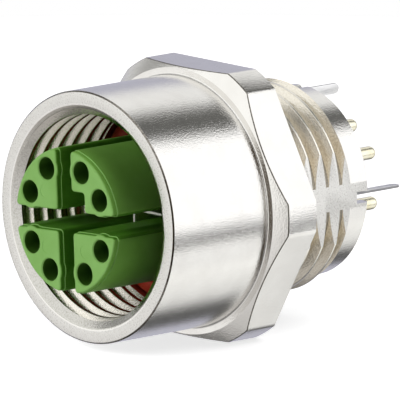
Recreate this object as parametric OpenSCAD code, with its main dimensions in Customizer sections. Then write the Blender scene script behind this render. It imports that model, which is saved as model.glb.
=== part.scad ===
// Round eight-contact board socket with cross coding.
// The mating axis lies along Y, with the mating face towards -Y and the board pins towards +Y.
// The origin is on that axis, in the plane where the flange seats on the panel.

/* [Housing front] */
// Outer diameter of the front tube
tube_d = 14; // [13.4:0.1:14.6]
// Length of the front tube, from the rim to the flange
tube_len = 7; // [6:0.1:9]
// Chamfer on the outer edge of the rim
rim_edge = 0.12; // [0.05:0.01:0.3]
// Diameter of the countersink at the rim
countersink_d = 12.4; // [11.8:0.1:12.8]
// Included angle of the countersink
countersink_angle = 120; // [60:5:140]
// Core diameter of the inner coupling thread
coupling_bore_d = 11.3; // [10.9:0.01:11.4]
// Depth of the coupling bore, from the rim to the shoulder
coupling_bore_len = 8.6; // [8:0.1:9.4]

/* [Housing flange] */
// Width of the hexagon across its flats
flange_af = 15; // [14.8:0.1:17]
// Diameter that the corners of the hexagon are turned to
flange_d = 16.4; // [15.6:0.1:17]
// Thickness of the flange
flange_t = 2.6; // [2:0.1:4]
// Diameter where the front chamfer of the hexagon starts
flange_face_d = 14.8; // [14.6:0.1:15.4]
// Slope of the front chamfer, from the flat of the face
flange_slope = 30; // [15:5:45]

/* [Housing rear] */
// Outer diameter of the panel thread
thread_d = 11.8; // [11.6:0.05:12.4]
// Length from the flange to the end of the panel thread
thread_len = 5.2; // [4:0.1:8]
// Distance of the milled flat from the axis
flat_dist = 5.28; // [5:0.02:5.6]
// Diameter of the plain collar behind the thread
collar_d = 10.64; // [10.2:0.02:10.7]
// Length of the plain collar
collar_len = 1.4; // [1.2:0.1:3]
// Chamfer on the rear edge of the collar
collar_edge = 0.15; // [0.05:0.01:0.3]
// Bore through the rear of the housing
rear_bore_d = 9.3; // [9.1:0.05:9.6]
// Width of the four slots in the collar
slot_w = 0.65; // [0.6:0.05:1]
// Depth of the four slots in the collar
slot_len = 0.9; // [0.6:0.05:1.1]
// Turn of the four slots against the legs, in degrees
slot_turn = -2; // [-2:0.5:2]

/* [Contact carrier] */
// Turn of the carrier and its contacts against the flange, in degrees
insert_turn = 3; // [-3:0.5:3]
// How far the towers stand out in front of the rim
insert_proud = 1.6; // [0:0.1:2.5]
// Diameter round the four towers
tower_d = 8.1; // [7.9:0.05:8.4]
// Bevel on the outer front edge of the towers
tower_edge = 0.2; // [0.05:0.05:0.3]
// Width of the gaps between the towers
gap_w = 1.06; // [0.8:0.02:1.2]
// Height of the foot that joins the towers outside, in front of the base
foot_h = 0.65; // [0.3:0.05:1.2]
// Radius of the wall round a contact hole where it swells into the gap
hole_wall_r = 0.97; // [0.9:0.01:1.05]
// Side of the coding notch, from the middle of the gaps across the tower
notch_w = 1.55; // [1.3:0.05:1.6]
// Side of the coding notch, from the middle of the gaps up the tower
notch_h = 1.65; // [1.3:0.05:1.75]
// Length of the neck under the seal ring
neck_len = 1.2; // [0.6:0.1:2]
// Thickness of the round base behind the neck
base_t = 1.55; // [1.5:0.05:2.2]

/* [Seal ring] */
// Diameter of the ring's section
seal_section_d = 1.3; // [1:0.05:1.34]

/* [Contacts] */
// Short step of the contact pattern, from the middle line of the gaps
contact_near = 1.4; // [1.35:0.01:1.5]
// Long step of the contact pattern
contact_far = 2.8; // [2.6:0.01:2.85]
// Outer diameter of the socket sleeve
sleeve_d = 1.2; // [1:0.02:1.24]
// Bore of the socket sleeve
sleeve_bore_d = 0.8; // [0.7:0.02:0.9]
// Depth of the sleeve's bore
sleeve_bore_len = 5.5; // [4:0.1:6]
// How far the sleeve sits behind the face of the tower
sleeve_recess = 1.2; // [0.4:0.1:2]
// Width of the spring slits in the sleeve
slit_w = 0.16; // [0.1:0.02:0.3]
// Length of the spring slits in the sleeve
slit_len = 3; // [2:0.1:4]
// Diameter of the collar that holds the contact
stop_d = 1.6; // [1.4:0.05:1.7]
// Thickness of the collar that holds the contact
stop_t = 0.6; // [0.4:0.05:0.8]
// Diameter of the board pin
pin_d = 0.75; // [0.5:0.01:0.8]
// Length of the board pin behind the housing
pin_proud = 2.75; // [2:0.05:4]

/* [Shield plates] */
// Thickness of the sheet
sheet_t = 0.15; // [0.1:0.01:0.3]
// Half width of a plate in front of its legs
plate_half_w = 3.5; // [3:0.05:3.7]
// Distance of a plate's front edge from the face of the towers
plate_recess = 5.1; // [4.5:0.1:6.5]
// Distance of a leg's outer edge from the axis
leg_reach = 5.1; // [4.9:0.02:5.2]
// Width of a leg
leg_w = 0.6; // [0.4:0.05:0.8]
// Length of a leg behind the housing
leg_proud = 2.62; // [2:0.02:4]

/* [Fits] */
// Gap between a plate and the slot that holds it
plate_fit = 0.05; // [0.03:0.01:0.08]
// Gap between a contact and the hole that holds it
contact_fit = 0.025; // [0.01:0.005:0.05]
// Gap round the carrier, the rear insulator and the seal ring
body_fit = 0.03; // [0.01:0.01:0.05]

/* [Hidden] */
$fn = 96;

// Room that a cut runs past the face it opens
over = 1;

// Places along the mating axis, from the panel seat
rim_y = -flange_t - tube_len;
face_y = rim_y - insert_proud;
shoulder_y = rim_y + coupling_bore_len;
base_y = shoulder_y - base_t;
neck_y = base_y - neck_len;
foot_y = base_y - foot_h;
collar_end_y = thread_len + collar_len;
slot_floor_y = collar_end_y - slot_len;
stop_end_y = shoulder_y + stop_t;
plate_front_y = face_y + plate_recess;
sleeve_y = face_y + sleeve_recess;
pin_tip_y = collar_end_y + pin_proud;
leg_tip_y = collar_end_y + leg_proud;

// Room at the ends of the gaps, beside the plates
gap_room = 0.1;

// Radii that several pieces share
bore_r = coupling_bore_d / 2;
countersink_r = countersink_d / 2;
rear_bore_r = rear_bore_d / 2;
hole_r = sleeve_d / 2 + contact_fit;
neck_r = bore_r - seal_section_d - 2 * body_fit;
seal_mid_r = neck_r + body_fit + seal_section_d / 2;

// Middle of the half-lap where the two plates cross
lap_y = (plate_front_y + collar_end_y) / 2;

// Contact places in the carrier, as [across, up], going round from the upper right tower
contact_places = [
    for (quarter = [0:3])
        for (place = [[contact_near, contact_far], [contact_far, contact_near]])
            turned(place, 90 * quarter)
];

function turned(place, angle) = [
    place[0] * cos(angle) - place[1] * sin(angle),
    place[0] * sin(angle) + place[1] * cos(angle)
];

// Stands a shape that was drawn along Z on the mating axis, so that its Z becomes +Y
module on_axis() {
    rotate([-90, 0, 0])
        children();
}

// Turns a piece with the carrier, seen from the mating face
module with_carrier() {
    rotate([0, -insert_turn, 0])
        children();
}

// Solid of revolution on the mating axis, from [radius, place along the axis] points
module turning(points) {
    on_axis()
        rotate_extrude()
            polygon(points);
}

// Straight round bar along the mating axis at a place [across, up]
module bar(place, radius, from_y, to_y) {
    translate([place[0], from_y, place[1]])
        on_axis()
            cylinder(r = radius, h = to_y - from_y);
}

// Box that is centred on the mating axis and runs from one place along it to another
module slab(width, height, from_y, to_y) {
    translate([-width / 2, from_y, -height / 2])
        cube([width, to_y - from_y, height]);
}

// Tube, panel thread and collar, without the flange
module housing_barrel() {
    thread_r = thread_d / 2;
    collar_r = collar_d / 2;
    turning([
        [0, rim_y],
        [tube_d / 2 - rim_edge, rim_y],
        [tube_d / 2, rim_y + rim_edge],
        [tube_d / 2, -flange_t / 2],
        [thread_r, -flange_t / 2],
        [thread_r, thread_len - thread_r + collar_r],
        [collar_r, thread_len],
        [collar_r, collar_end_y - collar_edge],
        [collar_r - collar_edge, collar_end_y],
        [0, collar_end_y]
    ]);
}

// Hexagon with turned corners and a front chamfer
module housing_flange() {
    flange_r = flange_d / 2;
    face_r = flange_face_d / 2;
    intersection() {
        translate([0, -flange_t, 0])
            on_axis()
                cylinder(d = flange_af / cos(30), h = flange_t, $fn = 6);
        turning([
            [0, -flange_t],
            [face_r, -flange_t],
            [flange_r, -flange_t + (flange_r - face_r) * tan(flange_slope)],
            [flange_r, 0],
            [0, 0]
        ]);
    }
}

// Everything that is bored out along the mating axis
module housing_bore() {
    widening = tan(countersink_angle / 2);
    turning([
        [0, rim_y - over],
        [countersink_r + over * widening, rim_y - over],
        [bore_r, rim_y + (countersink_r - bore_r) / widening],
        [bore_r, shoulder_y],
        [rear_bore_r, shoulder_y],
        [rear_bore_r, collar_end_y + over],
        [0, collar_end_y + over]
    ]);
}

module housing() {
    color("silver")
        difference() {
            union() {
                housing_barrel();
                housing_flange();
            }
            housing_bore();
            // Milled flat along the panel thread and the collar
            translate([flat_dist, 0, -thread_d / 2])
                cube([thread_d, collar_end_y + over, thread_d]);
            // Slots for the legs of the two plates
            for (angle = [0, 90])
                rotate([0, angle - slot_turn, 0])
                    slab(collar_d + over, slot_w, slot_floor_y, collar_end_y + over);
        }
}

// Outside of the towers, the neck and the base
module carrier_outside() {
    tower_r = tower_d / 2;
    base_r = bore_r - body_fit;
    turning([
        [0, face_y],
        [tower_r - tower_edge, face_y],
        [tower_r, face_y + tower_edge],
        [tower_r, neck_y],
        [neck_r, neck_y],
        [neck_r, base_y],
        [base_r, base_y],
        [base_r, shoulder_y],
        [0, shoulder_y]
    ]);
}

// Crossed gaps between the towers, narrowed by the walls round the contact holes
// Inside the foot and the base they run on to the rear for the plates
module gaps() {
    inner_w = 2 * (plate_half_w + gap_room);
    difference() {
        for (angle = [0, 90])
            rotate([0, angle, 0]) {
                slab(tower_d + over, gap_w, face_y - over, foot_y);
                slab(inner_w, gap_w, foot_y - over, shoulder_y + over);
            }
        for (place = contact_places)
            bar(place, hole_wall_r, face_y - 2 * over, shoulder_y + 2 * over);
    }
}

module contact_carrier() {
    color("limegreen")
        with_carrier()
            difference() {
                carrier_outside();
                gaps();
                // Coding notch in the upper right tower
                translate([0, face_y - over, 0])
                    cube([notch_w, foot_y - face_y + over, notch_h]);
                for (place = contact_places)
                    bar(place, hole_r, face_y - over, shoulder_y + over);
            }
}

module rear_insulator() {
    color("dimgray")
        difference() {
            translate([0, shoulder_y, 0])
                on_axis()
                    cylinder(r = rear_bore_r - body_fit, h = slot_floor_y - shoulder_y);
            with_carrier()
                for (place = contact_places) {
                    bar(place, pin_d / 2 + contact_fit, shoulder_y - over, slot_floor_y + over);
                    bar(place, stop_d / 2 + contact_fit, shoulder_y - over, stop_end_y + contact_fit);
                }
            for (angle = [0, 90])
                rotate([0, angle, 0])
                    slab(
                        2 * (plate_half_w + plate_fit), sheet_t + 2 * plate_fit,
                        shoulder_y - over, slot_floor_y + over
                    );
        }
}

module seal_ring() {
    color("firebrick")
        translate([0, base_y - seal_section_d / 2 - body_fit, 0])
            on_axis()
                rotate_extrude()
                    translate([seal_mid_r, 0])
                        circle(d = seal_section_d);
}

// One turned contact: slit sleeve, holding collar and board pin
module contact(index) {
    pin_r = pin_d / 2;
    color("gold")
        with_carrier()
            translate([contact_places[index - 1][0], 0, contact_places[index - 1][1]])
                difference() {
                    union() {
                        turning([
                            [0, sleeve_y],
                            [sleeve_d / 2, sleeve_y],
                            [sleeve_d / 2, shoulder_y],
                            [stop_d / 2, shoulder_y],
                            [stop_d / 2, stop_end_y],
                            [pin_r, stop_end_y],
                            [pin_r, pin_tip_y - pin_r],
                            [0, pin_tip_y - pin_r]
                        ]);
                        translate([0, pin_tip_y - pin_r, 0])
                            sphere(r = pin_r);
                    }
                    bar([0, 0], sleeve_bore_d / 2, sleeve_y - over, sleeve_y + sleeve_bore_len);
                    slab(sleeve_d + over, slit_w, sleeve_y - over, sleeve_y + slit_len);
                    slab(slit_w, sleeve_d + over, sleeve_y - over, sleeve_y + slit_len);
                }
}

// Outline of a plate, as [across, along the axis], with its half-lap cut from one place to another
module plate_outline(lap_from, lap_to) {
    difference() {
        union() {
            translate([-plate_half_w, plate_front_y])
                square([2 * plate_half_w, collar_end_y - plate_front_y]);
            translate([-leg_reach, slot_floor_y + plate_fit])
                square([2 * leg_reach, slot_len - plate_fit]);
            for (side = [-1, 1])
                translate([side * (leg_reach - leg_w / 2), 0]) {
                    translate([-leg_w / 2, slot_floor_y + plate_fit])
                        square([leg_w, leg_tip_y - leg_w / 2 - slot_floor_y - plate_fit]);
                    translate([0, leg_tip_y - leg_w / 2])
                        circle(d = leg_w);
                }
        }
        translate([-sheet_t / 2 - plate_fit, lap_from])
            square([sheet_t + 2 * plate_fit, lap_to - lap_from]);
    }
}

// A stamped plate in the level plane through the mating axis
module plate(lap_from, lap_to) {
    color("lightgray")
        translate([0, 0, -sheet_t / 2])
            linear_extrude(sheet_t)
                plate_outline(lap_from, lap_to);
}

module shield_plate_level() {
    plate(plate_front_y - over, lap_y);
}

module shield_plate_upright() {
    rotate([0, 90, 0])
        plate(lap_y, collar_end_y + over);
}

housing();
contact_carrier();
rear_insulator();
seal_ring();
for (index = [1:8])
    contact(index);
shield_plate_level();
shield_plate_upright();
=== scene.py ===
import math

import bmesh
import bpy
import numpy as np
from mathutils import Matrix, Vector
from mathutils.geometry import tessellate_polygon


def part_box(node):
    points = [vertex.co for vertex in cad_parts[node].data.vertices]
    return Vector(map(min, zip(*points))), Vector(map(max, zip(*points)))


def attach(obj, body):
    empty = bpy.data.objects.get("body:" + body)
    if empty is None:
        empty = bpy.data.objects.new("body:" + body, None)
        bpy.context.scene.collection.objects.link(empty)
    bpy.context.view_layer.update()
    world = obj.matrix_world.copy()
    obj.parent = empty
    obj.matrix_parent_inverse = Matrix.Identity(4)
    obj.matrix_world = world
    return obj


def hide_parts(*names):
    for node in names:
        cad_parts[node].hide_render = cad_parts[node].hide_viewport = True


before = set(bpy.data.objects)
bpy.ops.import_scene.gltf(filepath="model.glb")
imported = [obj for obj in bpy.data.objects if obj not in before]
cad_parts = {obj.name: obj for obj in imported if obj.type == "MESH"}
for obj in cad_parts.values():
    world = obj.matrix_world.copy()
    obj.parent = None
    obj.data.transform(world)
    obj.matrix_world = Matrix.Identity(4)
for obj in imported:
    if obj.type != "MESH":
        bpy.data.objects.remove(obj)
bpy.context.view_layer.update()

# Round eight-contact board socket. Shapes are drawn in millimetres and scaled to metres when a piece is done.
# The mating axis is Y with the open mouth towards -Y, angles go round it from +X to +Z.
mm = 0.001
sharpAngle = math.radians(28)
mergeDistance = 1e-4
noiseSpan = (0.3, 0.7)  # where most of a noise texture's values lie


def boxMm(node):
    low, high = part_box(node)
    return low / mm, high / mm


housingLow, housingHigh = boxMm("housing")
carrierLow, carrierHigh = boxMm("contact_carrier")
sealLow, sealHigh = boxMm("seal_ring")
plateLow, plateHigh = boxMm("shield_plate_level")
contactHigh = boxMm("contact_1")[1]
insertTurn = math.radians(3)  # the green insert and its contacts sit a little turned


# small mesh helpers


def meshObject(name, points, faces):
    mesh = bpy.data.meshes.new(name)
    mesh.from_pydata([tuple(p) for p in points], [], faces)
    obj = bpy.data.objects.new(name, mesh)
    bpy.context.scene.collection.objects.link(obj)
    return obj


def cleanMesh(obj):
    bm = bmesh.new()
    bm.from_mesh(obj.data)
    bmesh.ops.remove_doubles(bm, verts=bm.verts, dist=mergeDistance)
    bmesh.ops.recalc_face_normals(bm, faces=bm.faces)
    bm.to_mesh(obj.data)
    bm.free()
    return obj


def bakeModifiers(obj):
    depsgraph = bpy.context.evaluated_depsgraph_get()
    mesh = bpy.data.meshes.new_from_object(obj.evaluated_get(depsgraph))
    oldMesh = obj.data
    obj.modifiers.clear()
    obj.data = mesh
    bpy.data.meshes.remove(oldMesh)
    mesh.name = obj.name
    return obj


def joinSolid(obj, other, operation):
    modifier = obj.modifiers.new(operation, "BOOLEAN")
    modifier.operation = operation
    modifier.object = other
    modifier.solver = "MANIFOLD"
    bakeModifiers(obj)
    bpy.data.objects.remove(other)
    return obj


def arc(centre, radius, start, end, steps):
    angles = np.radians(np.linspace(start, end, steps + 1))
    return [(centre[0] + radius * math.cos(a), centre[1] + radius * math.sin(a)) for a in angles]


# sectionAt(angle) gives the closed outline [(radius, y), ...] at that angle round the axis
def turnRound(name, sectionAt, angles):
    sections = [sectionAt(a) for a in angles]
    count = len(sections[0])
    points = [
        (r * math.cos(a), y, r * math.sin(a))
        for a, section in zip(angles, sections)
        for r, y in section
    ]
    faces = []
    for i in range(len(angles)):
        nextRow = (i + 1) % len(angles)
        for j in range(count):
            k = (j + 1) % count
            faces.append((i * count + j, i * count + k, nextRow * count + k, nextRow * count + j))
    return cleanMesh(meshObject(name, points, faces))


def turnedSolid(name, section, steps):
    angles = np.linspace(0, math.tau, steps, endpoint=False)
    return turnRound(name, lambda a: section, angles)


def block(name, low, high):
    corners = [(x, y, z) for x in (low[0], high[0]) for y in (low[1], high[1]) for z in (low[2], high[2])]
    faces = [(0, 1, 3, 2), (4, 6, 7, 5), (0, 4, 5, 1), (2, 3, 7, 6), (0, 2, 6, 4), (1, 5, 7, 3)]
    return cleanMesh(meshObject(name, corners, faces))


def turnAboutAxis(obj, angle):
    obj.data.transform(Matrix.Rotation(-angle, 4, "Y"))
    return obj


def nodeTree(name, inputs):
    tree = bpy.data.node_groups.new(name, "GeometryNodeTree")
    tree.interface.new_socket("Geometry", in_out="INPUT", socket_type="NodeSocketGeometry")
    tree.interface.new_socket("Geometry", in_out="OUTPUT", socket_type="NodeSocketGeometry")
    for label, value in inputs.items():
        kinds = {int: "NodeSocketInt", float: "NodeSocketFloat", bpy.types.Material: "NodeSocketMaterial"}
        tree.interface.new_socket(label, in_out="INPUT", socket_type=kinds[type(value)])
    return tree


def runTree(obj, tree, inputs):
    modifier = obj.modifiers.new(tree.name, "NODES")
    modifier.node_group = tree
    for item in tree.interface.items_tree:
        if item.in_out == "INPUT" and item.name in inputs:
            modifier[item.identifier] = inputs[item.name]
    return bakeModifiers(obj)


# one value for each face, read by the finishes
def writeMarks(obj, marks):
    for name, values in marks.items():
        obj.data.attributes.new(name, "FLOAT", "FACE").data.foreach_set("value", values)


def finishPiece(obj, material, nodes):
    obj.data.transform(Matrix.Scale(mm, 4))
    obj.data.materials.clear()
    obj.data.materials.append(material)
    for polygon in obj.data.polygons:
        polygon.use_smooth = True
        polygon.material_index = 0
    obj.data.set_sharp_from_angle(angle=sharpAngle)
    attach(obj, "root")
    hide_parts(*nodes)
    obj.data.calc_loop_triangles()
    print(f"{obj.name}: {len(obj.data.loop_triangles)} triangles")


# finishes


def newFinish(name):
    material = bpy.data.materials.new(name)
    material.use_nodes = True
    nodes = material.node_tree.nodes
    return material, nodes, material.node_tree.links, nodes["Principled BSDF"]


def addNoise(nodes, links, vector, scale, detail=3.0, roughness=0.55):
    noise = nodes.new("ShaderNodeTexNoise")
    noise.inputs["Scale"].default_value = scale
    noise.inputs["Detail"].default_value = detail
    noise.inputs["Roughness"].default_value = roughness
    links.new(vector, noise.inputs["Vector"])
    return noise.outputs["Fac"]


def addRange(nodes, links, value, fromLow, fromHigh, toLow, toHigh):
    span = nodes.new("ShaderNodeMapRange")
    span.inputs["From Min"].default_value = fromLow
    span.inputs["From Max"].default_value = fromHigh
    span.inputs["To Min"].default_value = toLow
    span.inputs["To Max"].default_value = toHigh
    links.new(value, span.inputs["Value"])
    return span.outputs["Result"]


def addMix(nodes, links, factor, first, second):
    mix = nodes.new("ShaderNodeMix")
    mix.data_type = "RGBA"
    mix.inputs["A"].default_value = (*first, 1)
    mix.inputs["B"].default_value = (*second, 1)
    links.new(factor, mix.inputs["Factor"])
    return mix.outputs["Result"]


def spreadNoise(nodes, links, noise, low, high):
    return addRange(nodes, links, noise, *noiseSpan, low, high)


def addBump(nodes, links, shader, height, look):
    bump = nodes.new("ShaderNodeBump")
    bump.inputs["Strength"].default_value = look["bump"]
    bump.inputs["Distance"].default_value = look["bumpDepth"]
    links.new(height, bump.inputs["Height"])
    links.new(bump.outputs["Normal"], shader.inputs["Normal"])


def addMark(nodes, name):
    mark = nodes.new("ShaderNodeAttribute")
    mark.attribute_name = name
    return mark.outputs["Fac"]


# faces with the mark get their own tone over the one so far
def addLayer(nodes, links, tone, mark, own):
    layer = nodes.new("ShaderNodeMix")
    layer.data_type = "RGBA"
    links.new(addMark(nodes, mark), layer.inputs["Factor"])
    links.new(tone, layer.inputs["A"])
    links.new(own, layer.inputs["B"])
    return layer.outputs["Result"]


# one cloudy tone with a fine grain
def plainFinish(name, look):
    material, nodes, links, shader = newFinish(name)
    place = nodes.new("ShaderNodeTexCoord").outputs["Object"]
    cloud = addNoise(nodes, links, place, look["cloud"])
    grain = addNoise(nodes, links, place, look["grain"])
    tint = spreadNoise(nodes, links, cloud, 0, 1)
    links.new(addMix(nodes, links, tint, *look["tone"]), shader.inputs["Base Color"])
    links.new(spreadNoise(nodes, links, grain, *look["roughness"]), shader.inputs["Roughness"])
    addBump(nodes, links, shader, grain, look)
    shader.inputs["Metallic"].default_value = look["metallic"]
    return material


goldLook = {
    "tone": ((0.88, 0.81, 0.57), (0.95, 0.92, 0.76)), "metallic": 1,
    "cloud": 1500, "grain": 16000, "roughness": (0.2, 0.36), "bump": 0.12, "bumpDepth": 3e-6,
}
rubberLook = {
    "tone": ((0.37, 0.035, 0.018), (0.5, 0.06, 0.03)), "metallic": 0,
    "cloud": 900, "grain": 12000, "roughness": (0.4, 0.58), "bump": 0.15, "bumpDepth": 5e-6,
}
darkLook = {
    "tone": ((0.025, 0.025, 0.028), (0.045, 0.045, 0.05)), "metallic": 0,
    "cloud": 700, "grain": 12000, "roughness": (0.42, 0.6), "bump": 0.2, "bumpDepth": 5e-6,
}

# plain plating first, then the worked surfaces and the painted shade, in the order in which they lie over
# each other
nickelLook = {
    "plain": ((0.79, 0.775, 0.75), (0.84, 0.828, 0.805)),
    "workedAndShaded": {
        "faced": ((0.67, 0.66, 0.635), (0.79, 0.78, 0.755)),
        "sunk": ((0.5, 0.49, 0.455), (0.6, 0.59, 0.56)),
        "thread": ((0.79, 0.75, 0.66), (0.88, 0.85, 0.78)),
        # painted shade: a warm darker tone over the middle height of the panel thread and over the upper side
        # of the mouth
        "panel": ((0.55, 0.495, 0.4), (0.69, 0.635, 0.535)),
        # painted shade: the dark root tone goes on the flats of the inner thread, the roots of the outer
        # thread and the upper countersink
        "root": ((0.18, 0.16, 0.13), (0.3, 0.27, 0.22)),
        # painted shade: a near-black tone for the dark lines at the flange's chamfer edge and the rim's bevel
        "edge": ((0.08, 0.074, 0.066), (0.33, 0.31, 0.28)),
    },
    "grain": 11000, "cloud": 700, "speckle": (0.34, 0.56),
    "roughness": (0.06, 0.14), "facedRoughness": (0.24, 0.4),
    "bump": 1.0, "bumpDepth": 1.2e-5,
}


def nickelFinish():
    look = nickelLook
    material, nodes, links, shader = newFinish("brightNickel")
    place = nodes.new("ShaderNodeTexCoord").outputs["Object"]
    grain = addNoise(nodes, links, place, look["grain"])
    cloud = addNoise(nodes, links, place, look["cloud"])
    speckle = addRange(nodes, links, grain, *look["speckle"], 0, 1)
    tone = addMix(nodes, links, spreadNoise(nodes, links, cloud, 0, 1), *look["plain"])
    # the worked tones and the painted shade tones lie over the plain plating by their marks
    for surface, tones in look["workedAndShaded"].items():
        own = addMix(nodes, links, speckle, *tones)
        tone = addLayer(nodes, links, tone, surface + "Tone", own)
    links.new(tone, shader.inputs["Base Color"])
    blend = nodes.new("ShaderNodeMix")
    links.new(addMark(nodes, "faced"), blend.inputs["Factor"])
    links.new(spreadNoise(nodes, links, grain, *look["roughness"]), blend.inputs["A"])
    links.new(spreadNoise(nodes, links, grain, *look["facedRoughness"]), blend.inputs["B"])
    links.new(blend.outputs["Result"], shader.inputs["Roughness"])
    addBump(nodes, links, shader, grain, look)
    shader.inputs["Metallic"].default_value = 1
    return material


greenLook = {
    "face": ((0.205, 0.405, 0.105), (0.24, 0.46, 0.135)),
    # painted shade: the side, gap and hole wall tones stand in for the shade on those walls
    "walls": {
        "side": ((0.2, 0.455, 0.072), (0.235, 0.52, 0.094)),
        "gap": ((0.08, 0.24, 0.02), (0.095, 0.28, 0.026)),
        "hole": ((0.05, 0.14, 0.015), (0.065, 0.17, 0.02)),
    },
    "cloud": 500, "grain": 14000,
    "roughness": (0.4, 0.55), "gloss": 0.08, "bump": 0.3, "bumpDepth": 4e-6,
}


def greenFinish():
    look = greenLook
    material, nodes, links, shader = newFinish("greenMoulding")
    place = nodes.new("ShaderNodeTexCoord").outputs["Object"]
    cloud = addNoise(nodes, links, place, look["cloud"])
    grain = addNoise(nodes, links, place, look["grain"])
    tint = spreadNoise(nodes, links, cloud, 0, 1)
    tone = addMix(nodes, links, tint, *look["face"])
    # painted shade: each wall mark lays a deeper or darker green over the face tone
    for wall, tones in look["walls"].items():
        tone = addLayer(nodes, links, tone, wall + "Wall", addMix(nodes, links, tint, *tones))
    links.new(tone, shader.inputs["Base Color"])
    links.new(spreadNoise(nodes, links, grain, *look["roughness"]), shader.inputs["Roughness"])
    addBump(nodes, links, shader, grain, look)
    shader.inputs["Specular IOR Level"].default_value = look["gloss"]
    return material


# the cut edges of the legs are darker than the tinned faces, and the front edges are painted matt and pale as
# a painted highlight
sheetLook = {
    "plain": ((0.68, 0.68, 0.69), (0.84, 0.84, 0.84)),
    "edges": {
        "sheared": ((0.2, 0.2, 0.21), (0.34, 0.34, 0.35)),
        # painted highlight: the pale tone of the matt front edges
        "front": ((0.88, 0.86, 0.8), (0.93, 0.91, 0.86)),
    },
    "streak": 2500, "stretch": (6.0, 0.5, 6.0), "grain": 12000,
    "roughness": (0.26, 0.42), "bump": 0.2, "bumpDepth": 5e-6,
}


def sheetFinish():
    look = sheetLook
    material, nodes, links, shader = newFinish("tinnedSheet")
    place = nodes.new("ShaderNodeTexCoord").outputs["Object"]
    stretch = nodes.new("ShaderNodeMapping")
    stretch.inputs["Scale"].default_value = look["stretch"]
    links.new(place, stretch.inputs["Vector"])
    streak = addNoise(nodes, links, stretch.outputs["Vector"], look["streak"])
    grain = addNoise(nodes, links, place, look["grain"])
    tint = spreadNoise(nodes, links, streak, 0, 1)
    tone = addMix(nodes, links, tint, *look["plain"])
    for edge, tones in look["edges"].items():
        tone = addLayer(nodes, links, tone, edge, addMix(nodes, links, tint, *tones))
    links.new(tone, shader.inputs["Base Color"])
    # painted highlight: the front edges lose their metal, so the lamps light them pale
    links.new(addRange(nodes, links, addMark(nodes, "front"), 0, 1, 1, 0), shader.inputs["Metallic"])
    links.new(spreadNoise(nodes, links, grain, *look["roughness"]), shader.inputs["Roughness"])
    addBump(nodes, links, shader, streak, look)
    return material


# thread ridge: a trapezoid section swept along a helix, made by Geometry Nodes


def threadTree(inputs):
    tree = nodeTree("threadRidge", inputs)
    nodes, link = tree.nodes, tree.links.new
    sizes = nodes.new("NodeGroupInput").outputs
    spiral = nodes.new("GeometryNodeCurveSpiral")
    spiral.inputs["Reverse"].default_value = True  # right-hand
    section = nodes.new("GeometryNodeCurvePrimitiveQuadrilateral")
    section.mode = "TRAPEZOID"
    section.inputs["Offset"].default_value = 0
    fillet = nodes.new("GeometryNodeFilletCurve")
    fillet.mode = "POLY"
    fillet.inputs["Count"].default_value = 3
    upright = nodes.new("GeometryNodeTransform")
    spin = nodes.new("ShaderNodeCombineXYZ")
    rise = nodes.new("ShaderNodeMath")
    rise.operation = "MULTIPLY"
    normal = nodes.new("GeometryNodeSetCurveNormal")
    normal.mode = "Z_UP"
    sweep = nodes.new("GeometryNodeCurveToMesh")
    sweep.inputs["Fill Caps"].default_value = True
    onAxis = nodes.new("GeometryNodeTransform")
    onAxis.inputs["Rotation"].default_value = (-math.pi / 2, 0, 0)
    shift = nodes.new("ShaderNodeCombineXYZ")
    realize = nodes.new("GeometryNodeRealizeInstances")
    finish = nodes.new("GeometryNodeSetMaterial")
    output = nodes.new("NodeGroupOutput")
    link(sizes["steps"], spiral.inputs["Resolution"])
    link(sizes["turns"], spiral.inputs["Rotations"])
    link(sizes["middleRadius"], spiral.inputs["Start Radius"])
    link(sizes["middleRadius"], spiral.inputs["End Radius"])
    link(sizes["turns"], rise.inputs[0])
    link(sizes["pitch"], rise.inputs[1])
    link(rise.outputs["Value"], spiral.inputs["Height"])
    link(sizes["ridgeHeight"], section.inputs["Height"])
    link(sizes["footWidth"], section.inputs["Bottom Width"])
    link(sizes["crestWidth"], section.inputs["Top Width"])
    link(section.outputs["Curve"], fillet.inputs["Curve"])
    link(sizes["edgeRound"], fillet.inputs["Radius"])
    link(sizes["sectionTurn"], spin.inputs["Z"])
    link(fillet.outputs["Curve"], upright.inputs["Geometry"])
    link(spin.outputs["Vector"], upright.inputs["Rotation"])
    link(spiral.outputs["Curve"], normal.inputs["Curve"])
    link(normal.outputs["Curve"], sweep.inputs["Curve"])
    link(upright.outputs["Geometry"], sweep.inputs["Profile Curve"])
    link(sweep.outputs["Mesh"], onAxis.inputs["Geometry"])
    link(sizes["startY"], shift.inputs["Y"])
    link(shift.outputs["Vector"], onAxis.inputs["Translation"])
    link(onAxis.outputs["Geometry"], realize.inputs["Geometry"])
    link(realize.outputs["Geometry"], finish.inputs["Geometry"])
    link(sizes["finish"], finish.inputs["Material"])
    link(finish.outputs["Geometry"], output.inputs["Geometry"])
    return tree


# crest and foot are the ridge's radii; crestY is where its middle lies at angle 0
def threadRidge(name, spec, material):
    rise = abs(spec["foot"] - spec["crest"])
    outward = spec["crest"] > spec["foot"]
    turns = math.ceil((spec["to"] - spec["from"]) / spec["pitch"])
    phase = (spec["crestY"] - spec["from"]) % spec["pitch"]
    inputs = {
        "steps": spec["steps"],
        "turns": float(turns),
        "pitch": spec["pitch"],
        "middleRadius": (spec["foot"] + spec["crest"]) / 2,
        "ridgeHeight": rise,
        "footWidth": spec["crestWidth"] + 2 * rise * math.tan(spec["flank"]),
        "crestWidth": spec["crestWidth"],
        "edgeRound": spec["edgeRound"],
        "sectionTurn": -math.pi / 2 if outward else math.pi / 2,
        "startY": spec["from"] + phase - spec["pitch"],
        "finish": material,
    }
    ridge = meshObject(name, [], [])
    runTree(ridge, threadTree(inputs), inputs)
    return cleanMesh(ridge)


# housing: one turned piece of hexagon bar

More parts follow.
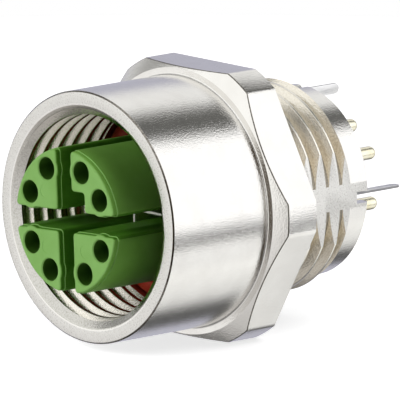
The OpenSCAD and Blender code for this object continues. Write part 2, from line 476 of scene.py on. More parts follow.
housing = {
    "rimY": housingLow.y, "endY": housingHigh.y, "flatHalf": housingHigh.z,
    "tubeRadius": 7.0, "rimEdge": 0.11, "rimTilt": math.radians(4.5), "rimRound": 0.05,
    "rimBevel": 48,  # in degrees
    "bevelEase": (0.008, 0.02), "brightEdge": 0.08,
    "countersinkRadius": 6.2, "countersinkSlope": math.radians(60),
    "grooveRadius": 6.03, "grooveEndY": -3.9, "grooveRunOut": 0.3,
    "coreRadius": 5.65, "shoulderY": carrierHigh.y,
    "flangeFrontY": -2.6, "flangeCorner": 8.2, "flangeFace": 7.4, "flangeSlope": math.radians(30),
    "flangeEdge": 0.07, "chamferEdge": 0.08, "tubeFillet": 0.1,
    "rootRadius": 5.32, "rootEdge": 0.15, "threadEndY": 5.2, "rearBore": 4.65,
    "flatDistance": 5.28, "flatStartY": 0.01,
    "slotWidth": 0.65, "slotFloorY": 5.7, "slotTurn": math.radians(-2),
    "steps": 288, "cornerClear": 0.4, "roundSteps": 8, "edgeSteps": 4,
}
innerThread = {
    "pitch": 1.0, "crest": 5.65, "foot": 6.12, "crestWidth": 0.25, "flank": math.radians(30),
    "edgeRound": 0.05, "crestY": -8.755, "from": -10.4, "to": -3.5, "steps": 144,
}
outerThread = {
    "pitch": 1.0, "crest": 5.88, "foot": 5.2, "crestWidth": 0.14, "flank": math.radians(30),
    "edgeRound": 0.05, "crestY": 3.0, "from": -0.9, "to": 6.2, "steps": 144,
}
# where the shapes that trim the housing begin, and how far they run past it or into it
housingTrim = {
    "conePast": 2, "coneWithin": 0.2, "threadStartY": -1.5, "threadRoom": 0.3, "threadPast": 0.1,
    "reach": 9, "endPast": 1,
}


def housingAngles():
    uniform = np.linspace(0, math.tau, housing["steps"], endpoint=False)
    half = math.pi / 6 - math.acos(housing["flatHalf"] / housing["flangeCorner"])
    corners = [(k * math.pi / 3 + side * half) % math.tau for k in range(6) for side in (-1, 1)]
    clear = math.tau / housing["steps"] * housing["cornerClear"]
    kept = [a for a in uniform if min(abs(a - c) for c in corners) > clear]
    return sorted(kept + corners)


def housingSection(angle):
    h = housing
    offFlat = angle % (math.pi / 3) - math.pi / 6  # from the middle of the nearest flat
    edge = min(h["flatHalf"] / math.cos(offFlat), h["flangeCorner"])
    tube, fillet = h["tubeRadius"], h["tubeFillet"]
    chamferY = h["flangeFrontY"] + (edge - h["flangeFace"]) * math.tan(h["flangeSlope"])
    # the chamfer runs into the flats round a small edge
    turn = h["chamferEdge"]
    ease = turn * math.tan((math.pi / 2 - h["flangeSlope"]) / 2)
    cutIn = h["countersinkRadius"] - h["grooveRadius"]
    # the rim is a little crowned
    rimMiddle = (tube - h["rimEdge"] + h["countersinkRadius"]) / 2
    crown = (tube - h["rimEdge"] - h["countersinkRadius"]) / 2 / math.sin(h["rimTilt"])
    tilt = math.degrees(h["rimTilt"])
    outside = arc((rimMiddle, h["rimY"] + crown), crown, -90 - tilt, -90 + tilt, h["roundSteps"])
    # its outer edge turns into a steep bevel
    small = h["rimRound"]
    edgeR, edgeY = outside[-1]
    middle = (edgeR - small * math.sin(h["rimTilt"]), edgeY + small * math.cos(h["rimTilt"]))
    outside += arc(middle, small, -90 + tilt, -90 + h["rimBevel"], h["edgeSteps"])[1:]
    bevelY = outside[-1][1] + (tube - outside[-1][0]) * math.tan(math.radians(h["rimBevel"]))
    easeIn, easeY = h["bevelEase"]
    outside += [(tube - easeIn, bevelY - easeY), (tube, bevelY + easeY)]
    outside += arc((tube + fillet, h["flangeFrontY"] - fillet), fillet, 180, 90, h["roundSteps"])
    chamferStart = math.degrees(h["flangeSlope"]) - 90
    outside += [
        (h["flangeFace"], h["flangeFrontY"]),
        *arc((edge - turn, chamferY + ease), turn, chamferStart, 0, h["edgeSteps"]),
        (edge, -h["flangeEdge"]),
        (edge - h["flangeEdge"], 0),
        (h["rootRadius"], 0),
        (h["rootRadius"], h["endY"] - h["rootEdge"]),
        (h["rootRadius"] - h["rootEdge"], h["endY"]),
    ]
    inside = [
        (h["rearBore"], h["endY"]),
        (h["rearBore"], h["shoulderY"]),
        (h["coreRadius"], h["shoulderY"]),
        (h["coreRadius"], h["grooveEndY"]),
        (h["grooveRadius"], h["grooveEndY"] - h["grooveRunOut"]),
        (h["grooveRadius"], h["rimY"] + cutIn / math.tan(h["countersinkSlope"])),
    ]
    return outside + inside


# how the housing's faces are told apart, by parts of their normals and by distances in mm
housingMarks = {
    "rimNormal": -0.95, "rimDepth": 0.1, "flatNormal": 0.99, "flatOff": 0.02,
    "mouthDepth": 0.02, "coneFade": 0.3, "coneNormalOff": 0.1, "coneDepth": 0.5,
    "threadBelow": 0.05, "threadWithin": 6.0, "crestDepth": 0.06, "crestNormal": 0.6,
    "innerRootNormal": 0.3, "outerRootNormal": 0.2, "rootDepth": 0.03,
    "chamferEndY": -1.5, "chamferNormal": (-0.85, -0.06),
    "bevelRadius": 6.8, "bevelDepth": 0.2, "bevelNormal": (-0.93, -0.2),
    # shares of the matt finish, of the tones and of the painted shade
    "threadMatt": 0.4, "coneSmoother": 0.3, "shade": 1.6, "threadShade": 0.8, "coneShade": 0.65,
    "warmest": 1.9, "warmFall": 1.75, "leastWarm": 0.3,
}


def markHousing(shell):
    h, m = housing, housingMarks
    slope = h["countersinkSlope"]
    names = ("faced", "facedTone", "sunkTone", "threadTone", "panelTone", "rootTone", "edgeTone")
    marks = {name: [] for name in names}
    for polygon in shell.data.polygons:
        centre, normal = polygon.center, polygon.normal
        radius = math.hypot(centre.x, centre.z)
        depth = centre.y - h["rimY"]
        rimFace = normal.y < m["rimNormal"] and depth < m["rimDepth"]
        brightEdge = rimFace and radius < h["countersinkRadius"] + h["brightEdge"]
        milled = normal.x > m["flatNormal"] and abs(centre.x - h["flatDistance"]) < m["flatOff"]
        flatWork = milled or rimFace and not brightEdge
        # the first flank of the thread leaves the cone gradually
        coneRadius = h["countersinkRadius"] - depth * math.tan(slope)
        sunk = max(0.0, 1 - abs(radius - coneRadius) / m["coneFade"])
        if abs(normal.y + math.sin(slope)) > m["coneNormalOff"] or depth > m["coneDepth"]:
            sunk = 0.0
        inMouth = m["mouthDepth"] < depth and centre.y < h["grooveEndY"]
        onInner = inMouth and radius < h["countersinkRadius"]
        onRear = 0 < centre.y < h["threadEndY"]
        onOuter = onRear and h["rootRadius"] - m["threadBelow"] < radius < m["threadWithin"]
        threaded = (onInner or onOuter) and not milled
        matt = m["threadMatt"] - m["coneSmoother"] * sunk
        marks["faced"].append(1.0 if flatWork else matt if threaded else 0.0)
        marks["facedTone"].append(float(flatWork))
        marks["sunkTone"].append(sunk)
        marks["threadTone"].append(1 - sunk if threaded else 0.0)
        # painted shade: the panel thread is painted warmest half way up, and the upper side of the mouth is
        # painted darker as if in shade
        onCrest = radius > outerThread["crest"] - m["crestDepth"] and abs(normal.y) < m["crestNormal"]
        shade = min(1.0, max(0.0, -m["shade"] * normal.z))
        panel = 0.0
        if onOuter and threaded and not onCrest:
            panel = min(1.0, max(m["leastWarm"], m["warmest"] - m["warmFall"] * abs(centre.z) / radius))
        elif onInner:
            panel = m["threadShade"] * shade * (1 - sunk)
        marks["panelTone"].append(panel)
        # painted shade: thread flats and roots, and the upper countersink by the coneShade share, get the
        # dark root tone
        innerRoot = onInner and threaded and abs(normal.y) < m["innerRootNormal"]
        deep = radius < h["rootRadius"] + m["rootDepth"]
        outerRoot = onOuter and threaded and deep and abs(normal.y) < m["outerRootNormal"]
        marks["rootTone"].append(1.0 if innerRoot or outerRoot else m["coneShade"] * shade * sunk)
        # painted shade: dark lines painted along the edge of the flange's chamfer and along the rim's bevel
        steepest, flattest = m["chamferNormal"]
        onFlange = radius > h["flangeFace"] and h["flangeFrontY"] < centre.y < m["chamferEndY"]
        onChamfer = onFlange and steepest < normal.y < flattest
        steepest, flattest = m["bevelNormal"]
        onRim = radius > m["bevelRadius"] and depth < m["bevelDepth"]
        onBevel = onRim and steepest < normal.y < flattest
        marks["edgeTone"].append(float(onChamfer or onBevel))
    writeMarks(shell, marks)


def makeHousing(material):
    h, trim = housing, housingTrim
    shell = turnRound("housingShell", housingSection, housingAngles())
    widening = math.tan(h["countersinkSlope"])
    past, within = trim["conePast"], trim["coneWithin"]
    coneEndY = h["rimY"] + (h["countersinkRadius"] - h["coreRadius"] + within) / widening
    mouth = turnedSolid("mouth", [
        (0, h["rimY"] - past),
        (h["countersinkRadius"] + past * widening, h["rimY"] - past),
        (h["coreRadius"] - within, coneEndY),
        (0, h["rimY"] + past),
    ], h["steps"])
    inner = joinSolid(threadRidge("innerRidge", innerThread, material), mouth, "DIFFERENCE")
    shell = joinSolid(shell, inner, "UNION")
    # the rear thread ends in a chamfer down to the collar
    wide, past = outerThread["crest"] + trim["threadRoom"], trim["threadPast"]
    envelope = turnedSolid("envelope", [
        (0, trim["threadStartY"]),
        (wide, trim["threadStartY"]),
        (wide, h["threadEndY"] - wide + h["rootRadius"]),
        (h["rootRadius"] - past, h["threadEndY"] + past),
        (0, h["threadEndY"] + past),
    ], h["steps"])
    outer = joinSolid(threadRidge("outerRidge", outerThread, material), envelope, "INTERSECT")
    shell = joinSolid(shell, outer, "UNION")
    reach, pastEnd = trim["reach"], h["endY"] + trim["endPast"]
    millFlat = block("millFlat", (h["flatDistance"], h["flatStartY"], -reach), (reach, pastEnd, reach))
    shell = joinSolid(shell, millFlat, "DIFFERENCE")
    half = h["slotWidth"] / 2
    for wide, tall in ((reach, half), (half, reach)):
        slot = block("legSlot", (-wide, h["slotFloorY"], -tall), (wide, pastEnd, tall))
        shell = joinSolid(shell, turnAboutAxis(slot, h["slotTurn"]), "DIFFERENCE")
    markHousing(shell)
    finishPiece(shell, material, ["housing"])


# green insert: four towers on a round base, with two contact holes each

carrier = {
    "faceY": carrierLow.y, "shoulderY": carrierHigh.y, "baseRadius": carrierHigh.x,
    "towerRadius": 4.05, "gapHalf": 0.53, "edgeRound": 0.11, "cornerRound": 0.26, "leastCorner": 0.03,
    "lipStep": 0.05, "lipDepth": 0.32, "faceInset": 0.05,
    "holeWall": 0.97, "notchAcross": 1.55, "notchUp": 1.65, "notchRound": 0.15,
    "neckRadius": 4.29, "neckY": -3.75, "footY": -3.2, "baseY": -2.55, "gapReach": 3.6,
    "near": 1.4, "far": 2.8, "holeRadius": 0.625, "holeEdge": 0.06,
    "markRadius": 0.38, "markDepth": 0.012, "markPlace": 1.55,
    "steps": 128, "wallSteps": 64, "holeSteps": 48, "markSteps": 32,
    "roundSteps": 26, "swellSteps": 8, "cornerSteps": 6, "notchSteps": 5, "edgeSteps": 5,
}
# how far the shapes that make the insert run past or into each other
carrierTrim = {
    "towerSunk": 0.3, "neckIn": 0.01, "gapPast": 0.1, "endPast": 1,
    "wallPast": 0.15, "wallIn": 0.005, "wallShort": 0.01, "drillPast": 0.2, "markPast": 0.5,
}


# outline of the upper right tower seen from the mouth, drawn in by inset
def towerOutline(inset, outerRadius, notched):
    c = carrier
    side = c["gapHalf"] + inset
    radius = outerRadius - inset
    corner = max(c["cornerRound"] - inset, c["leastCorner"])
    wall = c["holeWall"] - inset
    near, far = c["near"], c["far"]
    reach = math.sqrt((radius - corner) ** 2 - (side + corner) ** 2)
    meet = math.degrees(math.atan2(side + corner, reach))
    swell = math.degrees(math.acos((near - side) / wall))
    bend = c["notchSteps"]
    points = arc((reach, side + corner), corner, -90, meet, c["cornerSteps"])
    points += arc((0, 0), radius, meet, 90 - meet, c["roundSteps"])[1:-1]
    points += arc((side + corner, reach), corner, 90 - meet, 180, c["cornerSteps"])
    points += arc((near, far), wall, 180 - swell, 180 + swell, c["swellSteps"])
    if notched:
        across, up = c["notchAcross"] + inset, c["notchUp"] + inset
        inner = c["notchRound"] + inset
        points += arc((side + corner, up + corner), corner, 180, 270, bend)
        points += arc((across - inner, up - inner), inner, 90, 0, bend)
        points += arc((across + corner, side + corner), corner, 180, 270, bend)
    else:
        points += arc((side + corner, side + corner), corner, 180, 270, bend)
    points += arc((far, near), wall, 270 - swell, 270 + swell, c["swellSteps"])
    return points


def makeTower(notched):
    c = carrier
    edge, lip, lipY = c["edgeRound"], c["lipStep"], c["faceY"] + c["lipDepth"]
    lipEdge = lip / 2
    rings = [(c["faceY"], lip + edge + c["faceInset"], c["towerRadius"])]
    for place, height in arc((lip + edge, edge), edge, 270, 180, c["edgeSteps"]):
        rings.append((c["faceY"] + height, place, c["towerRadius"]))
    # a small step runs round the tower behind its face
    rings += [
        (lipY, lip, c["towerRadius"]),
        (lipY, lipEdge, c["towerRadius"]),
        (lipY + lipEdge, 0, c["towerRadius"]),
        (c["neckY"], 0, c["towerRadius"]),
        (c["neckY"], 0, c["neckRadius"]),
        (c["footY"] + carrierTrim["towerSunk"], 0, c["neckRadius"]),
    ]
    points, faces = [], []
    for y, inset, radius in rings:
        outline = towerOutline(inset, radius, notched)
        points += [(x, y, z) for x, z in outline]
    count = len(outline)
    for i in range(len(rings) - 1):
        for j in range(count):
            k = (j + 1) % count
            faces.append((i * count + j, i * count + k, (i + 1) * count + k, (i + 1) * count + j))
    for start in (0, (len(rings) - 1) * count):
        loop = [Vector(p) for p in points[start:start + count]]
        faces += [tuple(start + n for n in triangle) for triangle in tessellate_polygon([loop])]
    return cleanMesh(meshObject("tower", points, faces))


def contactPlaces():
    near, far = carrier["near"], carrier["far"]
    for quarter in range(4):
        turn = Matrix.Rotation(quarter * math.pi / 2, 2)
        for place in ((near, far), (far, near)):
            yield turn @ Vector(place)


# painted shade: the walls are painted a deeper green than the faces, and the gaps and contact holes are
# painted darker still where little light gets in
carrierMarks = {"sideNormal": -0.8, "sideFade": 0.6, "holeOff": 0.01}


def markCarrier(body):
    c, m = carrier, carrierMarks
    marks = {"sideWall": [], "gapWall": [], "holeWall": []}
    places = list(contactPlaces())
    holeReach, holeY = c["holeRadius"] + m["holeOff"], c["faceY"] + c["holeEdge"]
    gapReach = c["gapHalf"] + c["cornerRound"] / 2
    for polygon in body.data.polygons:
        centre = polygon.center
        across = Vector((centre.x, centre.z))
        inHole = min((across - place).length for place in places) < holeReach
        inGap = min(abs(across.x), abs(across.y)) < gapReach
        side = min(1.0, max(0.0, (polygon.normal.y - m["sideNormal"]) / m["sideFade"]))
        marks["sideWall"].append(side)
        marks["gapWall"].append(side if inGap else 0.0)
        marks["holeWall"].append(float(inHole and centre.y > holeY))
    writeMarks(body, marks)


def turnedAt(name, section, steps, across, up):
    solid = turnedSolid(name, section, steps)
    solid.data.transform(Matrix.Translation((across, 0, up)))
    return solid


def makeCarrier(material):
    c, trim = carrier, carrierTrim
    pastEnd = c["shoulderY"] + trim["endPast"]
    body = turnedSolid("greenCarrier", [
        (0, c["footY"]),
        (c["neckRadius"] - trim["neckIn"], c["footY"]),
        (c["neckRadius"] - trim["neckIn"], c["baseY"]),
        (c["baseRadius"], c["baseY"]),
        (c["baseRadius"], c["shoulderY"]),
        (0, c["shoulderY"]),
    ], c["steps"])
    for quarter in range(4):
        tower = turnAboutAxis(makeTower(quarter == 0), quarter * math.pi / 2)
        body = joinSolid(body, tower, "UNION")
    # inside the foot and the base the gaps run on to the rear for the plates
    for wide, tall in ((c["gapReach"], c["gapHalf"]), (c["gapHalf"], c["gapReach"])):
        gap = block("gap", (-wide, c["footY"] - trim["gapPast"], -tall), (wide, pastEnd, tall))
        body = joinSolid(body, gap, "DIFFERENCE")
    wallRadius = c["holeWall"] - trim["wallIn"]
    wallY, wallEndY = c["footY"] - trim["wallPast"], c["shoulderY"] - trim["wallShort"]
    wallSection = [(0, wallY), (wallRadius, wallY), (wallRadius, wallEndY), (0, wallEndY)]
    for place in contactPlaces():
        wall = turnedAt("wall", wallSection, c["wallSteps"], *place)
        body = joinSolid(body, wall, "UNION")
    radius, edge, past = c["holeRadius"], c["holeEdge"], trim["drillPast"]
    drillSection = [
        (0, c["faceY"] - past),
        (radius + edge + past, c["faceY"] - past),
        (radius, c["faceY"] + edge),
        (radius, pastEnd),
        (0, pastEnd),
    ]
    for place in contactPlaces():
        drill = turnedAt("drill", drillSection, c["holeSteps"], *place)
        body = joinSolid(body, drill, "DIFFERENCE")
    # shallow round ejector marks on the three towers without a notch
    markY, markFloorY = c["faceY"] - trim["markPast"], c["faceY"] + c["markDepth"]
    markSection = [(0, markY), (c["markRadius"], markY), (c["markRadius"], markFloorY), (0, markFloorY)]
    for across, up in ((-1, 1), (-1, -1), (1, -1)):
        place = across * c["markPlace"], up * c["markPlace"]
        mark = turnedAt("mark", markSection, c["markSteps"], *place)
        body = joinSolid(body, mark, "DIFFERENCE")
    markCarrier(body)
    turnAboutAxis(body, insertTurn)
    finishPiece(body, material, ["contact_carrier"])


# red seal ring round the foot of the towers

seal = {"steps": 144, "sectionSteps": 28}


def makeSeal(material):
    section = (sealHigh.y - sealLow.y) / 2
    middle = (sealHigh.x - section, (sealHigh.y + sealLow.y) / 2)
    outline = arc(middle, section, 0, 360, seal["sectionSteps"])[:-1]
    ring = turnedSolid("sealRing", outline, seal["steps"])
    finishPiece(ring, material, ["seal_ring"])


# gold contacts: one turned contact, set round the insert by Geometry Nodes

contact = {
    "sleeveY": -10.0, "sleeveRadius": 0.6, "bore": 0.4, "boreEndY": -4.5, "mouthEdge": 0.06,
    "slitHalf": 0.08, "slitEndY": -7.0, "slitReach": 1, "slitPast": 1,
    "stopRadius": 0.8, "stopEndY": -0.4, "shoulderY": carrierHigh.y, "stopEdge": 0.05,
    "pinRadius": 0.375, "tipY": contactHigh.y, "steps": 48, "tipSteps": 8, "towers": 4, "count": 8,
}


def contactTree(inputs):
    tree = nodeTree("contactSet", inputs)
    nodes, link = tree.nodes, tree.links.new
    given = nodes.new("NodeGroupInput").outputs
    output = nodes.new("NodeGroupOutput")
    pair = nodes.new("GeometryNodeJoinGeometry")
    for first, second in (("near", "far"), ("far", "near")):
        place = nodes.new("ShaderNodeCombineXYZ")
        move = nodes.new("GeometryNodeTransform")
        link(given[first], place.inputs["X"])
        link(given[second], place.inputs["Z"])
        link(given["Geometry"], move.inputs["Geometry"])
        link(place.outputs["Vector"], move.inputs["Translation"])
        link(move.outputs["Geometry"], pair.inputs["Geometry"])
    towers = nodes.new("GeometryNodePoints")
    index = nodes.new("GeometryNodeInputIndex")
    quarter = nodes.new("ShaderNodeMath")
    quarter.operation = "MULTIPLY_ADD"
    quarter.inputs[1].default_value = math.pi / 2
    spin = nodes.new("ShaderNodeCombineXYZ")
    place = nodes.new("GeometryNodeInstanceOnPoints")
    realize = nodes.new("GeometryNodeRealizeInstances")
    finish = nodes.new("GeometryNodeSetMaterial")
    link(given["towers"], towers.inputs["Count"])
    link(index.outputs["Index"], quarter.inputs[0])
    link(given["turn"], quarter.inputs[2])
    link(quarter.outputs["Value"], spin.inputs["Y"])
    link(towers.outputs["Points"], place.inputs["Points"])
    link(pair.outputs["Geometry"], place.inputs["Instance"])
    link(spin.outputs["Vector"], place.inputs["Rotation"])
    link(place.outputs["Instances"], realize.inputs["Geometry"])
    link(realize.outputs["Geometry"], finish.inputs["Geometry"])
    link(given["finish"], finish.inputs["Material"])
    link(finish.outputs["Geometry"], output.inputs["Geometry"])
    return tree


def makeContacts(material):
    c = contact
    edge, stopEdge = c["mouthEdge"], c["stopEdge"]
    section = [
        (c["bore"], c["sleeveY"] + edge),
        (c["bore"] + edge, c["sleeveY"]),
        (c["sleeveRadius"] - edge, c["sleeveY"]),
        (c["sleeveRadius"], c["sleeveY"] + edge),
        (c["sleeveRadius"], c["shoulderY"]),
        (c["stopRadius"] - stopEdge, c["shoulderY"]),
        (c["stopRadius"], c["shoulderY"] + stopEdge),
        (c["stopRadius"], c["stopEndY"]),
        (c["pinRadius"], c["stopEndY"]),
    ]
    section += arc((0, c["tipY"] - c["pinRadius"]), c["pinRadius"], 0, 90, c["tipSteps"])
    section += [(0, c["boreEndY"] + c["bore"] / 2), (c["bore"], c["boreEndY"])]
    pins = turnedSolid("goldContacts", section, c["steps"])
    reach, half, slitY = c["slitReach"], c["slitHalf"], c["sleeveY"] - c["slitPast"]
    for wide, tall in ((reach, half), (half, reach)):
        slit = block("slit", (-wide, slitY, -tall), (wide, c["slitEndY"], tall))
        pins = joinSolid(pins, slit, "DIFFERENCE")
    inputs = {
        "near": carrier["near"], "far": carrier["far"], "towers": c["towers"],
        "turn": -insertTurn, "finish": material,
    }
    runTree(pins, contactTree(inputs), inputs)
    finishPiece(pins, material, [f"contact_{n}" for n in range(1, c["count"] + 1)])


# two thin stamped plates, half-lapped, with a board leg at each side

plate = {
    "thickness": plateHigh.z - plateLow.z, "reach": plateHigh.x, "tipY": plateHigh.y, "frontY": plateLow.y,
    "halfWidth": 3.5, "legWidth": 0.6, "wingY": 5.75, "backY": housingHigh.y, "tipSteps": 10,
    "lapY": (plateLow.y + housingHigh.y) / 2, "lapHalf": 0.125,
    "edge": 0.04, "edgeSegments": 2, "edgeAngle": math.radians(50), "flatAngle": math.radians(1),
    "shearedNormal": 0.6, "frontNormal": -0.3,
}


# the lap is open at the front of the level plate and at the back of the upright one
def plateOutline(lapAtFront):
    p = plate
    legIn = p["reach"] - p["legWidth"]
    tip = p["legWidth"] / 2
    front = [(p["halfWidth"], p["frontY"]), (p["halfWidth"], p["wingY"]), (p["reach"], p["wingY"])]
    leg = arc((p["reach"] - tip, p["tipY"] - tip), tip, 0, 180, p["tipSteps"]) + [(legIn, p["backY"])]
    lapFront = [(p["lapHalf"], p["lapY"]), (p["lapHalf"], p["frontY"])]
    lapBack = [(p["lapHalf"], p["backY"]), (p["lapHalf"], p["lapY"])]
    right = (lapFront + front + leg) if lapAtFront else (front + leg + lapBack)
    left = [(-x, y) for x, y in reversed(right)]
    return right + left


def makePlate(name, node, lapAtFront, turn, material):
    p = plate
    half = p["thickness"] / 2
    outline = plateOutline(lapAtFront)
    count = len(outline)
    points = [(x, y, -half) for x, y in outline] + [(x, y, half) for x, y in outline]
    triangles = tessellate_polygon([[Vector((x, y, 0)) for x, y in outline]])
    faces = [tuple(t) for t in triangles]
    faces += [tuple(n + count for n in t) for t in triangles]
    faces += [(j, (j + 1) % count, (j + 1) % count + count, j + count) for j in range(count)]
    sheet = cleanMesh(meshObject(name, points, faces))
    bm = bmesh.new()
    bm.from_mesh(sheet.data)
    bmesh.ops.dissolve_limit(bm, angle_limit=p["flatAngle"], verts=bm.verts, edges=bm.edges)
    bm.to_mesh(sheet.data)
    bm.free()
    bevel = sheet.modifiers.new("edge", "BEVEL")
    bevel.width = p["edge"]
    bevel.segments = p["edgeSegments"]
    bevel.limit_method = "ANGLE"
    bevel.angle_limit = p["edgeAngle"]
    bakeModifiers(sheet)
    normals = [polygon.normal for polygon in sheet.data.polygons]
    writeMarks(sheet, {
        "sheared": [float(abs(normal.x) > p["shearedNormal"]) for normal in normals],
        # painted highlight: the front mark makes the front edges matt and pale
        "front": [float(normal.y < p["frontNormal"]) for normal in normals],
    })
    turnAboutAxis(sheet, turn)
    finishPiece(sheet, material, [node])


# floor, light and camera

view = {
    "azimuth": math.radians(47.27), "elevation": math.radians(11.12),
    "distance": 1000, "pixelsPerMm": 18.307, "imageSize": 400,
    "aimAcross": 6.19, "aimUp": 0.961,  # image centre, from the middle of the rim
    "sensor": 36, "clipStart": 0.05, "clipEnd": 20,
}


def makeCamera():
    az, el = view["azimuth"], view["elevation"]
    across = Vector((math.cos(az), math.sin(az), 0))
    back = Vector((math.sin(az) * math.cos(el), -math.cos(az) * math.cos(el), math.sin(el)))
    up = back.cross(across)
    rim = Vector((0, housing["rimY"], 0))
    data = bpy.data.cameras.new("camera")
    data.sensor_width = view["sensor"]
    data.lens = view["pixelsPerMm"] * view["distance"] * view["sensor"] / view["imageSize"]
    data.clip_start, data.clip_end = view["clipStart"], view["clipEnd"]
    camera = bpy.data.objects.new("camera", data)
    bpy.context.scene.collection.objects.link(camera)
    place = rim + across * view["aimAcross"] + up * view["aimUp"] + back * view["distance"]
    camera.matrix_world = Matrix((
        (across.x, up.x, back.x, place.x * mm),
        (across.y, up.y, back.y, place.y * mm),
        (across.z, up.z, back.z, place.z * mm),
        (0, 0, 0, 1),
    ))
    bpy.context.scene.camera = camera


floor = {
    "y": -1.5, "z": housingLow.z, "radius": 95, "thickness": 0.5, "steps": 96,
    "colour": (0.9, 0.9, 0.9), "roughness": 0.9, "glow": 0.75,
}


def makeFloor():
    radius, thickness = floor["radius"], floor["thickness"]
    section = [(0, 0), (radius, 0), (radius, thickness), (0, thickness)]
    disc = turnedSolid("floor", section, floor["steps"])
    disc.data.transform(Matrix.Rotation(-math.pi / 2, 4, "X"))
    disc.data.transform(Matrix.Translation((0, floor["y"], floor["z"])))
    disc.data.transform(Matrix.Scale(mm, 4))
    material, nodes, links, shader = newFinish("paleFloor")
    shader.inputs["Base Color"].default_value = (*floor["colour"], 1)
    shader.inputs["Roughness"].default_value = floor["roughness"]
    rays = nodes.new("ShaderNodeLightPath").outputs
    glow = addRange(nodes, links, rays["Is Camera Ray"], 0, 1, 0, floor["glow"])
    shader.inputs["Emission Color"].default_value = (1, 1, 1, 1)
    links.new(glow, shader.inputs["Emission Strength"])
    disc.data.materials.append(material)
    disc.visible_glossy = False


# what the metal mirrors: ramps of greys and colours over the direction of the mirrored ray
studio = {
    # towards the rear: cards round the mating axis, by the angle from +X to +Z in degrees
    "cards": [
        (-180, (0.39, 0.39, 0.455)), (-124, (0.4, 0.4, 0.46)), (-115, 0.1), (-94, 0.1),
        (-82, (0.63, 0.63, 0.62)), (-50, (0.85, 0.85, 0.83)), (-45, (0.87, 0.87, 0.86)),
        (-42, (0.68, 0.68, 0.67)), (-38, (0.68, 0.68, 0.67)), (-35, (0.87, 0.87, 0.86)),
        (-27, (0.87, 0.87, 0.86)), (-23, 0.08), (-17, 0.08), (-13, 1), (66, 1),
        (72, (0.11, 0.11, 0.105)), (96, (0.11, 0.11, 0.105)), (106, (0.72, 0.72, 0.71)),
        (132, (0.74, 0.74, 0.73)), (147, (0.39, 0.39, 0.455)), (180, (0.39, 0.39, 0.455)),
    ],
    # towards the front: a card by the share of Z, times the room near the camera by the share of X
    "mouth": [
        (-1, (0.48, 0.47, 0.46)), (-0.6, (0.55, 0.54, 0.53)), (-0.25, (0.76, 0.75, 0.74)),
        (0.1, (0.9, 0.9, 0.88)), (1, (0.9, 0.9, 0.88)),
    ],
    "nearRoom": [
        (-1, 1), (0.3, 1), (0.5, (0.09, 0.07, 0.05)), (0.74, (0.09, 0.07, 0.05)),
        (0.84, (0.8, 0.79, 0.78)), (1, (0.8, 0.79, 0.78)),
    ],
    "frontBlend": 0.05,
    # strength: a darker gap just before the two meet, by the share of Y, eased at the far left by that of X
    "gap": [(-1, 1), (-0.48, 1), (-0.36, 0.3), (-0.14, 0.3), (-0.02, 1), (1, 1)],
    "farLeft": [(-1, 0.4), (-0.9, 0.36), (-0.82, 0), (1, 0)],
    # one card overhead, by the share of Z
    "zenith": [(-1, 0), (0.91, 0), (0.96, 1), (1, 1)], "zenithCard": (0.75, 0.75, 0.74),
    "gloss": 1.3, "fill": 0.03,
}


# the stops run over the same range as the value, from -reach to reach
def addRamp(nodes, links, value, stops, reach=1):
    ramp = nodes.new("ShaderNodeValToRGB")
    links.new(addRange(nodes, links, value, -reach, reach, 0, 1), ramp.inputs["Fac"])
    elements = ramp.color_ramp.elements
    while len(elements) < len(stops):
        elements.new(0.5)
    first, last = stops[0][0], stops[-1][0]
    for element, (place, colour) in zip(elements, stops):
        element.position = (place - first) / (last - first)
        element.color = (*colour, 1) if isinstance(colour, tuple) else (colour, colour, colour, 1)
    return ramp.outputs["Color"]


def addMath(nodes, links, operation, first, second):
    step = nodes.new("ShaderNodeMath")
    step.operation = operation
    links.new(first, step.inputs[0])
    links.new(second, step.inputs[1])
    return step.outputs["Value"]


def addLight(nodes, strength):
    light = nodes.new("ShaderNodeBackground")
    light.inputs["Color"].default_value = (1, 1, 1, 1)
    light.inputs["Strength"].default_value = strength
    return light


def mixLights(nodes, links, share, first, second):
    mix = nodes.new("ShaderNodeMixShader")
    links.new(share, mix.inputs["Fac"])
    links.new(first, mix.inputs[1])
    links.new(second, mix.inputs[2])
    return mix.outputs["Shader"]


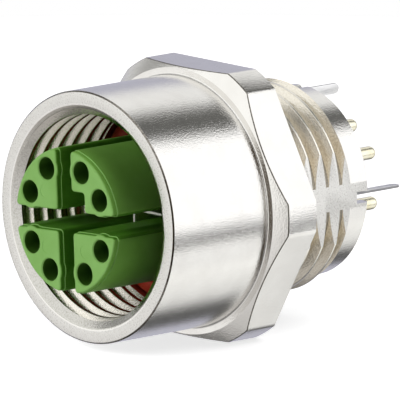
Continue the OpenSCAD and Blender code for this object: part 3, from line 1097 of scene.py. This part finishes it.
def makeStudio():
    world = bpy.data.worlds.new("studio")
    bpy.context.scene.world = world
    world.use_nodes = True
    nodes, links = world.node_tree.nodes, world.node_tree.links
    nodes.clear()
    way = nodes.new("ShaderNodeSeparateXYZ")
    links.new(nodes.new("ShaderNodeTexCoord").outputs["Generated"], way.inputs["Vector"])
    x, y, z = (way.outputs[axis] for axis in "XYZ")
    front = nodes.new("ShaderNodeMix")
    front.data_type = "RGBA"
    front.blend_type = "MULTIPLY"
    front.inputs["Factor"].default_value = 1
    links.new(addRamp(nodes, links, z, studio["mouth"]), front.inputs["A"])
    links.new(addRamp(nodes, links, x, studio["nearRoom"]), front.inputs["B"])
    angle = addMath(nodes, links, "ARCTAN2", z, x)
    mirrored = nodes.new("ShaderNodeMix")
    mirrored.data_type = "RGBA"
    blend = studio["frontBlend"]
    links.new(addRange(nodes, links, y, -blend, blend, 0, 1), mirrored.inputs["Factor"])
    links.new(front.outputs["Result"], mirrored.inputs["A"])
    links.new(addRamp(nodes, links, angle, studio["cards"], math.pi), mirrored.inputs["B"])
    overhead = nodes.new("ShaderNodeMix")
    overhead.data_type = "RGBA"
    overhead.inputs["B"].default_value = (*studio["zenithCard"], 1)
    links.new(addRamp(nodes, links, z, studio["zenith"]), overhead.inputs["Factor"])
    links.new(mirrored.outputs["Result"], overhead.inputs["A"])
    gap = addRamp(nodes, links, y, studio["gap"])
    farLeft = addRamp(nodes, links, x, studio["farLeft"])
    strength = addMath(nodes, links, "MAXIMUM", gap, farLeft)
    cards = nodes.new("ShaderNodeBackground")
    links.new(overhead.outputs["Result"], cards.inputs["Color"])
    links.new(addRange(nodes, links, strength, 0, 1, 0, studio["gloss"]), cards.inputs["Strength"])
    # only mirrored rays see the cards, and none that have met a matt surface before
    rays = nodes.new("ShaderNodeLightPath").outputs
    direct = addRange(nodes, links, rays["Diffuse Depth"], 0, 1, 1, 0)
    mirroring = addMath(nodes, links, "MULTIPLY", rays["Is Glossy Ray"], direct)
    seen = addMath(nodes, links, "MAXIMUM", rays["Is Camera Ray"], rays["Is Transmission Ray"])
    fill, white = addLight(nodes, studio["fill"]), addLight(nodes, 1)
    room = mixLights(nodes, links, mirroring, fill.outputs["Background"], cards.outputs["Background"])
    either = mixLights(nodes, links, seen, room, white.outputs["Background"])
    links.new(either, nodes.new("ShaderNodeOutputWorld").inputs["Surface"])


# two soft lamps, in metres and watts
lamps = [
    {"name": "frontSoftbox", "from": (-0.2, -0.85, 0.32), "distance": 0.36, "size": 0.24, "power": 1.1},
    {"name": "topSoftbox", "from": (0.45, 0.45, 0.8), "distance": 0.4, "size": 0.3, "power": 0.8},
]


def makeLamps():
    for spec in lamps:
        data = bpy.data.lights.new(spec["name"], "AREA")
        data.size = spec["size"]
        data.energy = spec["power"]
        lamp = bpy.data.objects.new(spec["name"], data)
        bpy.context.scene.collection.objects.link(lamp)
        way = Vector(spec["from"]).normalized()
        lamp.location = way * spec["distance"]
        lamp.rotation_mode = "QUATERNION"
        lamp.rotation_quaternion = way.to_track_quat("Z", "Y")
        lamp.visible_glossy = False


makeHousing(nickelFinish())
makeCarrier(greenFinish())
makeSeal(plainFinish("redRubber", rubberLook))
makeContacts(plainFinish("goldPlating", goldLook))
tinned = sheetFinish()
makePlate("levelPlate", "shield_plate_level", True, 0, tinned)
makePlate("uprightPlate", "shield_plate_upright", False, math.pi / 2, tinned)
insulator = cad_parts["rear_insulator"]
insulator.data.materials.clear()
insulator.data.materials.append(plainFinish("darkMoulding", darkLook))
print("pieces made")

makeCamera()
makeFloor()
makeStudio()
makeLamps()
bpy.context.scene.view_settings.view_transform = "Standard"
print("stage set")
